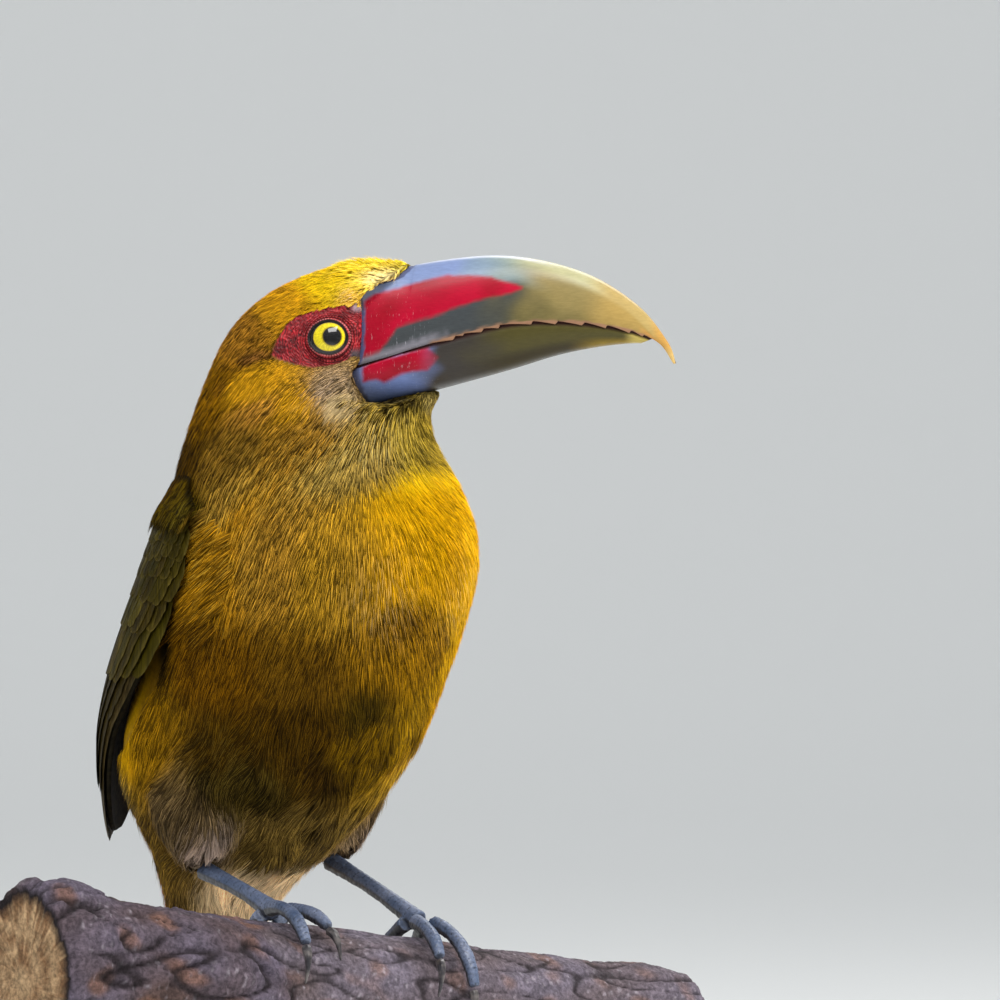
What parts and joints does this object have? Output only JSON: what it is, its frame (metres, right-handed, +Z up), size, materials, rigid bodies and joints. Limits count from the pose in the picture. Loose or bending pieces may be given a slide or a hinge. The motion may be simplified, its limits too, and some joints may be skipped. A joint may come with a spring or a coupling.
{
  "type": "perched saffron toucanet model",
  "caption": "Life-size still model of a saffron toucanet with its head turned, gripping a short cut branch that a rod holds over a round display base.",
  "frame": {"origin": "centre of the underside of the stand's base", "axes": "+Z up; the bird's body faces -Y, its left side is +X and its head is turned to its left"},
  "size_m": [0.214, 0.176, 0.3222],
  "materials": {
    "plumage_saffron": "soft feathers, matt",
    "plumage_crown": "soft feathers, matt",
    "plumage_wing": "firm olive-brown feathers, slight sheen",
    "plumage_tail": "firm dark olive feathers, slight sheen",
    "plumage_thigh": "loose down, matt",
    "bill_horn": "smooth horn, glossy",
    "bill_horn_lower": "smooth horn, satin",
    "eye": "wet gloss",
    "leg_scales": "scaled skin, satin",
    "claw_horn": "horn, satin",
    "bark": "rough weathered bark",
    "stand_wood": "dark oiled wood, satin",
    "stand_steel": "brushed"
  },
  "bodies": {
    "root": {"trunk": "plumage_saffron", "neck": "plumage_saffron", "head": "plumage_crown", "bill_upper": "bill_horn", "bill_lower": "bill_horn_lower", "eye_left": "eye", "eye_right": "eye", "wing_left": "plumage_wing", "wing_right": "plumage_wing", "tail": "plumage_tail", "thigh_left": "plumage_thigh", "thigh_right": "plumage_thigh", "tarsus_left": "leg_scales", "tarsus_right": "leg_scales", "toe_left_1": "leg_scales", "toe_left_2": "leg_scales", "toe_left_3": "leg_scales", "toe_left_4": "leg_scales", "toe_right_1": "leg_scales", "toe_right_2": "leg_scales", "toe_right_3": "leg_scales", "toe_right_4": "leg_scales", "claw_left_1": "claw_horn", "claw_left_2": "claw_horn", "claw_left_3": "claw_horn", "claw_left_4": "claw_horn", "claw_right_1": "claw_horn", "claw_right_2": "claw_horn", "claw_right_3": "claw_horn", "claw_right_4": "claw_horn", "perch": "bark", "stand_rod": "stand_steel", "stand_collar": "stand_steel", "stand_base": "stand_wood"}
  },
  "joints": []
}
